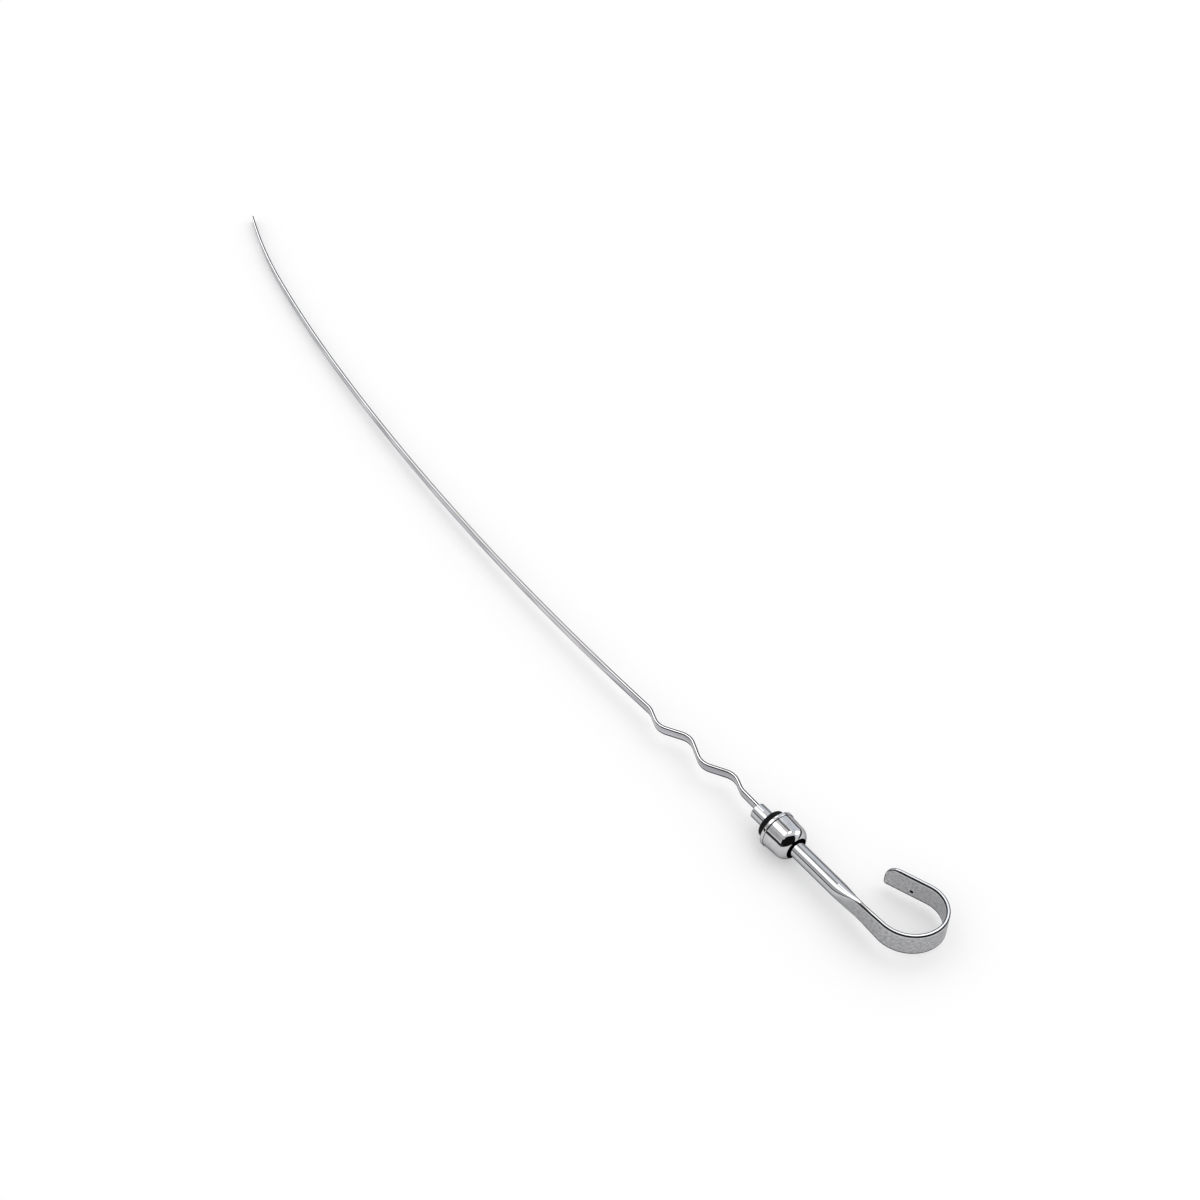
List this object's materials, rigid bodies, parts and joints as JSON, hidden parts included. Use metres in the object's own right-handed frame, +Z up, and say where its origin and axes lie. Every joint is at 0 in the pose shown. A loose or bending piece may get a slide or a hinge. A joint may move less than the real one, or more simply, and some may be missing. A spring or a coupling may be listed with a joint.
{
  "type": "engine oil dipstick",
  "caption": "Engine oil dipstick: a thin bowed blade with crimp waves, set in a chromed tube handle that is pressed flat into a finger hook, with a bell cap and rubber seal.",
  "frame": {"origin": "centre of the seal's seating face, on the handle tube's axis", "axes": "+X along the tube's axis towards the finger hook, +Y towards the side the hook and the blade bend to, +Z up as the part lies on a table"},
  "size_m": [0.5117, 0.0466, 0.0152],
  "materials": {
    "blade_steel": "bright satin",
    "handle_chrome": "polished",
    "cap_chrome": "polished",
    "seal_rubber": "matte"
  },
  "bodies": {
    "root": {"blade": "blade_steel", "handle": "handle_chrome", "cap": "cap_chrome", "seal": "seal_rubber"}
  },
  "joints": []
}
